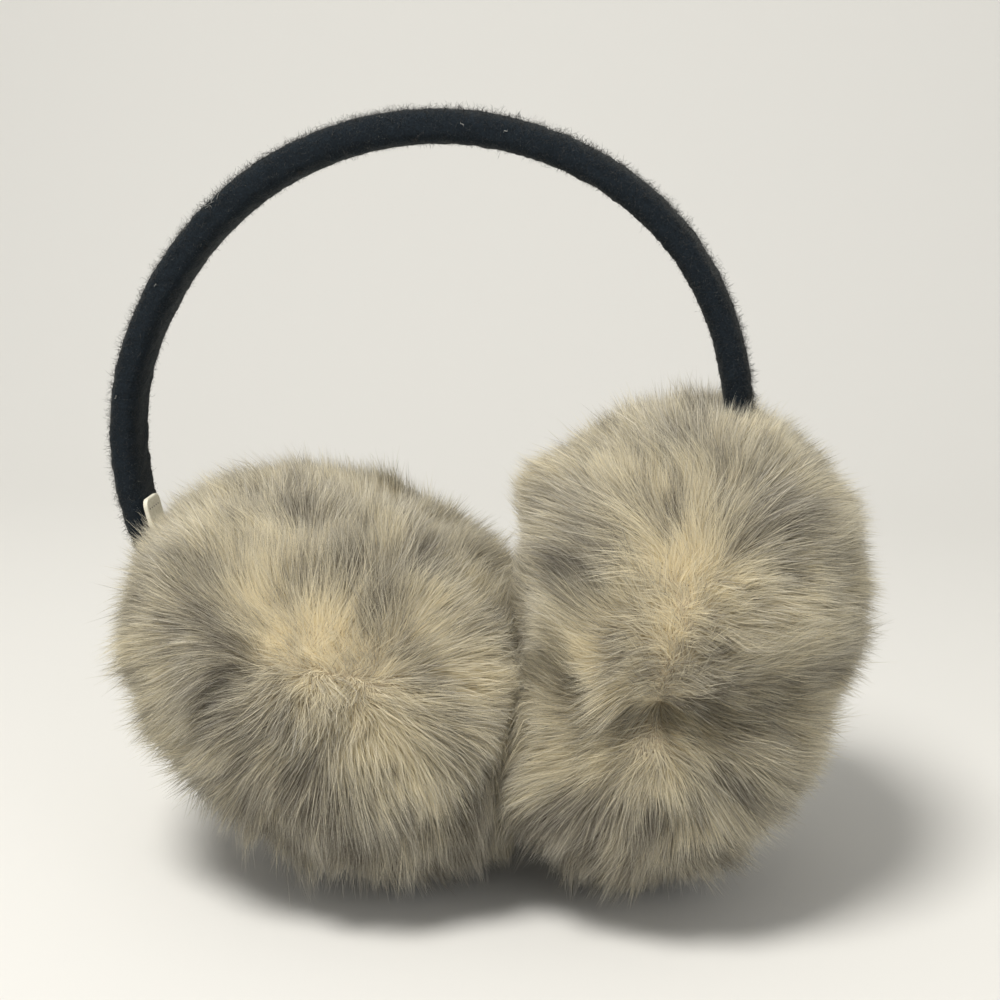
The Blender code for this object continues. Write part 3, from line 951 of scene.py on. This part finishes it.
def fleece_material(name, dark, light):
    made, tree, shader = principled(
        name, Roughness=0.95, Specular_IOR_Level=0.22, Sheen_Weight=0.12, Sheen_Roughness=0.45,
    )
    shader.inputs["Sheen Tint"].default_value = (0.62, 0.64, 0.60, 1)
    noise = noise_colour(tree, shader, 2200, [(0.35, dark), (0.72, light)], 6)
    roughen(tree, shader, noise, 0.7, 0.0004)
    return made


def cloth_material(name, dark, light):
    made, tree, shader = principled(name, Roughness=0.9, Specular_IOR_Level=0.3)
    noise = noise_colour(tree, shader, 1600, [(0.3, dark), (0.65, light)], 4)
    roughen(tree, shader, noise, 0.4, 0.0002)
    return made


def piece(obj, slot, *nodes):
    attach(obj, "root")
    if nodes:
        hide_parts(*nodes)
    return obj


def build_backing(muff, rng, material, rows=60, columns=96):
    """The closed backing under the fur, raised at the whorls and pressed as the fur is; its colour is dense
    underfur darkened as painted shade.
    """
    heights = np.cos(np.linspace(0.02, math.pi - 0.02, rows))
    turns = np.arange(columns) * 2 * math.pi / columns
    flat = np.sqrt(1 - heights**2)
    ways = np.stack([
        flat[:, None] * np.cos(turns), flat[:, None] * np.sin(turns), heights[:, None] + 0 * turns,
    ], axis=-1).reshape(-1, 3)
    places = muff.skin(ways, CORE_DEPTH / 1000 * (1 - WHORL_RAISED * muff.near_whorl(ways)))
    places += muff.normals(ways) * (0.0004 * muff.fine(places))[:, None]
    places = muff.pressed(places[:, None], rng, CORE_ROOM)[:, 0]
    grid = places.reshape(rows, columns, 3)[::-1]
    core = grid_mesh(f"{muff.name}_backing", grid, material, True)
    piece(core, "fur", muff.name)


def build_muff(muff, band, tab, materials):
    rng = np.random.default_rng(SEED * 3 + muff.side)
    build_backing(muff, rng, materials["core"])
    for coat in COATS:
        points, sides, widths, shades, shift, looks = muff.coat(coat, band, tab, rng)
        label = f"{muff.name}_{coat.name}"
        strands = ribbons(label, points, sides, widths, materials[coat.name], shades, shift, looks)
        piece(strands, "fur", muff.name)


def curled(roots, ways, lengths, levels, curl, rng):
    """Points along curly fibres."""
    points = [roots]
    for _ in range(levels - 1):
        points.append(points[-1] + ways * (lengths / (levels - 1))[:, None])
        ways = unit(ways + rng.normal(0, curl, ways.shape))
    return np.stack(points, axis=1)


def fibres(name, points, width, material, rng):
    count, levels = points.shape[:2]
    sides = unit(np.cross(np.gradient(points, axis=1), rng.normal(size=(count, 1, 3))))
    widths = np.full((count, levels), width / 1000)
    return piece(ribbons(name, points, sides, widths, material), "black_fleece", "headband")


def build_fleece(band, rng, material, per=40):
    """The sleeve round the band, with small lumps."""
    angles = (np.arange(per) + 0.5) * 2 * math.pi / per
    index = np.arange(len(band.places))
    at, angle = (a.ravel() for a in np.meshgrid(index, angles, indexing="ij"))
    places, out = band.surface(at, angle)
    lumps = 0.00009 * Waves(rng, 0.0060)(places) + 0.00009 * Waves(rng, 0.0014)(places)
    places = places + out * np.maximum(lumps, -0.0002)[:, None]
    strip = grid_mesh("headband_fleece", places.reshape(len(index), per, 3), material, True)
    piece(strip, "black_fleece", "headband")


def build_loose_fibres(band, rng, kind, material):
    """One kind of short fibre, scattered over the sleeve."""
    at = rng.uniform(4, len(band.places) - 5, kind.count)
    angle = math.pi / 2 + rng.normal(0, kind.spread, kind.count)
    roots, out = band.surface(at, angle, -0.0001)
    way = unit(out + rng.normal(0, 0.75, out.shape))
    flip = (way * out).sum(axis=1) < 0.1
    way[flip] = unit(way[flip] + out[flip] * 0.8)
    lengths = rng.uniform(kind.shortest, kind.longest, kind.count) / 1000
    points = curled(roots, way, lengths, kind.levels, kind.curl, rng)
    fibres(kind.name, points, kind.width, material, rng)


def build_pills(band, rng, material):
    """Small balls of tangled fibre."""
    bundles = []
    for turn, degrees, radius, count in PILLS:
        at = np.array([INSET_STEPS + turn * (ARC_STEPS - 1)])
        centre, _ = band.surface(at, np.radians([degrees]), 0.00045 * radius)
        roots = centre + unit(rng.normal(size=(count, 3))) * rng.uniform(0, 0.5, (count, 1)) * radius / 1000
        lengths = rng.uniform(0.7, 1.6, count) * radius / 1000
        bundles.append(curled(roots, unit(rng.normal(size=(count, 3))), lengths, 4, 0.9, rng))
    fibres("headband_pills", np.concatenate(bundles), PILL_FIBRE, material, rng)


def build_lint(band, rng, material):
    """Threads that lie on the sleeve, each along its own wandering line."""
    threads = []
    for turn, degrees, along, around, curl in LINT:
        s = np.linspace(0, 1, 9)
        wander = curl * np.cumsum(rng.normal(0, 0.12, 9))
        at = INSET_STEPS + turn * (ARC_STEPS - 1) + along / LINT_STEP * (s + 0.3 * wander)
        angle = np.radians(degrees + around * (s + wander))
        points, _ = band.surface(at, angle, 0.00022 + 0.00012 * np.sin(s * 9))
        threads.append(points)
    fibres("headband_lint", np.array(threads), LINT_THREAD, material, rng)


def build_band(band, materials):
    rng = np.random.default_rng(SEED * 5)
    build_fleece(band, rng, materials["fleece"])
    for kind in FIBRES:
        build_loose_fibres(band, rng, kind, materials[kind.material])
    build_pills(band, rng, materials["fuzz"])
    build_lint(band, rng, materials["lint"])


def build_stage():
    """A pale floor that bends up into a backdrop."""
    made, _, shader = principled("studio", Roughness=0.9, Specular_IOR_Level=0.2)
    shader.inputs["Base Color"].default_value = (0.78, 0.77, 0.74, 1)
    profile = [(STAGE_FRONT, 0.0), (STAGE_BACK, 0.0)]
    for turn in np.linspace(0, math.pi / 2, 16)[1:]:
        profile.append((STAGE_BACK + STAGE_BEND * math.sin(turn), STAGE_BEND - STAGE_BEND * math.cos(turn)))
    profile.append((STAGE_BACK + STAGE_BEND, STAGE_TOP))
    verts = [(x, y, z) for y, z in profile for x in (-STAGE_HALF, STAGE_HALF)]
    faces = [(2 * i, 2 * i + 1, 2 * i + 3, 2 * i + 2) for i in range(len(profile) - 1)]
    mesh = bpy.data.meshes.new("studio")
    mesh.from_pydata(verts, [], faces)
    mesh.shade_smooth()
    mesh.materials.append(made)
    obj = bpy.data.objects.new("studio", mesh)
    bpy.context.scene.collection.objects.link(obj)


def add_light(name, place, size, energy, colour):
    light = bpy.data.lights.new(name, "AREA")
    light.shape = "DISK"
    light.size = size
    light.energy = energy
    light.color = colour
    obj = bpy.data.objects.new(name, light)
    obj.location = place
    obj.rotation_euler = (Vector(LIGHT_AIM) - Vector(place)).to_track_quat("-Z", "Y").to_euler()
    bpy.context.scene.collection.objects.link(obj)


def build_lights():
    for row in LIGHTS:
        add_light(*row)
    world = bpy.data.worlds.new("studio")
    world.use_nodes = True
    sky = world.node_tree.nodes["Background"]
    sky.inputs["Color"].default_value = SKY_COLOUR
    sky.inputs["Strength"].default_value = SKY_STRENGTH
    bpy.context.scene.world = world


def build_camera():
    azimuth, elevation = math.radians(CAMERA_AZIMUTH), math.radians(CAMERA_ELEVATION)
    back = Vector((
        math.sin(azimuth) * math.cos(elevation),
        -math.cos(azimuth) * math.cos(elevation),
        math.sin(elevation),
    ))
    data = bpy.data.cameras.new("camera")
    data.lens = CAMERA_LENS
    data.sensor_width = 36
    data.clip_start = 0.01
    obj = bpy.data.objects.new("camera", data)
    obj.location = Vector(CAMERA_TARGET) + back * CAMERA_DISTANCE
    obj.rotation_euler = (-back).to_track_quat("-Z", "Y").to_euler()
    bpy.context.scene.collection.objects.link(obj)
    bpy.context.scene.camera = obj


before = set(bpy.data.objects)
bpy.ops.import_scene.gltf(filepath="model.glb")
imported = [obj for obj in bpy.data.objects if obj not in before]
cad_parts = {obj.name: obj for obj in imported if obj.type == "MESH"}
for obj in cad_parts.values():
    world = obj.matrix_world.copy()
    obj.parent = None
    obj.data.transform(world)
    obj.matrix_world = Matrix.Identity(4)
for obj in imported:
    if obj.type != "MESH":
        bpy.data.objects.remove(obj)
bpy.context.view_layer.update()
bpy.context.scene.view_settings.view_transform = "Standard"
# Splits the long thin hairs in space, which gives the same picture in less time
bpy.context.scene.cycles.debug_use_spatial_splits = True
muffs = [Muff(*row) for row in MUFFS]
band = Band(muffs)
tab = Tab(band)
materials = {
    "underfur": fur_material("underfur", 0.55, 0.25),
    # The guard hairs' tips are lighter, partly as painted highlight
    "guard_hair": fur_material("guard_hair", 0.34, 0.85),
    "core": painted_shade_core_material(),
    "fleece": fleece_material("fleece", (0.0045, 0.0078, 0.0115), (0.0125, 0.0195, 0.0270)),
    "nap": fleece_material("fleece_nap", (0.0080, 0.0110, 0.0145), (0.040, 0.044, 0.046)),
    "fuzz": fleece_material("fleece_fuzz", (0.010, 0.0125, 0.0150), (0.055, 0.056, 0.054)),
    "halo": fleece_material("fleece_halo", (0.016, 0.018, 0.020), (0.095, 0.092, 0.085)),
    "fleck": fleece_material("fleece_fleck", (0.06, 0.06, 0.055), (0.20, 0.20, 0.18)),
    "lint": fleece_material("lint", (0.25, 0.25, 0.24), (0.50, 0.50, 0.47)),
    "cloth": cloth_material("cream_weave", (0.70, 0.66, 0.53), (0.83, 0.80, 0.68)),
    "hole": cloth_material("needle_hole", (0.10, 0.09, 0.07), (0.17, 0.155, 0.12)),
}
for muff in muffs:
    build_muff(muff, band, tab, materials)
build_band(band, materials)
tab.build(materials["cloth"], materials["hole"])
build_stage()
build_lights()
build_camera()
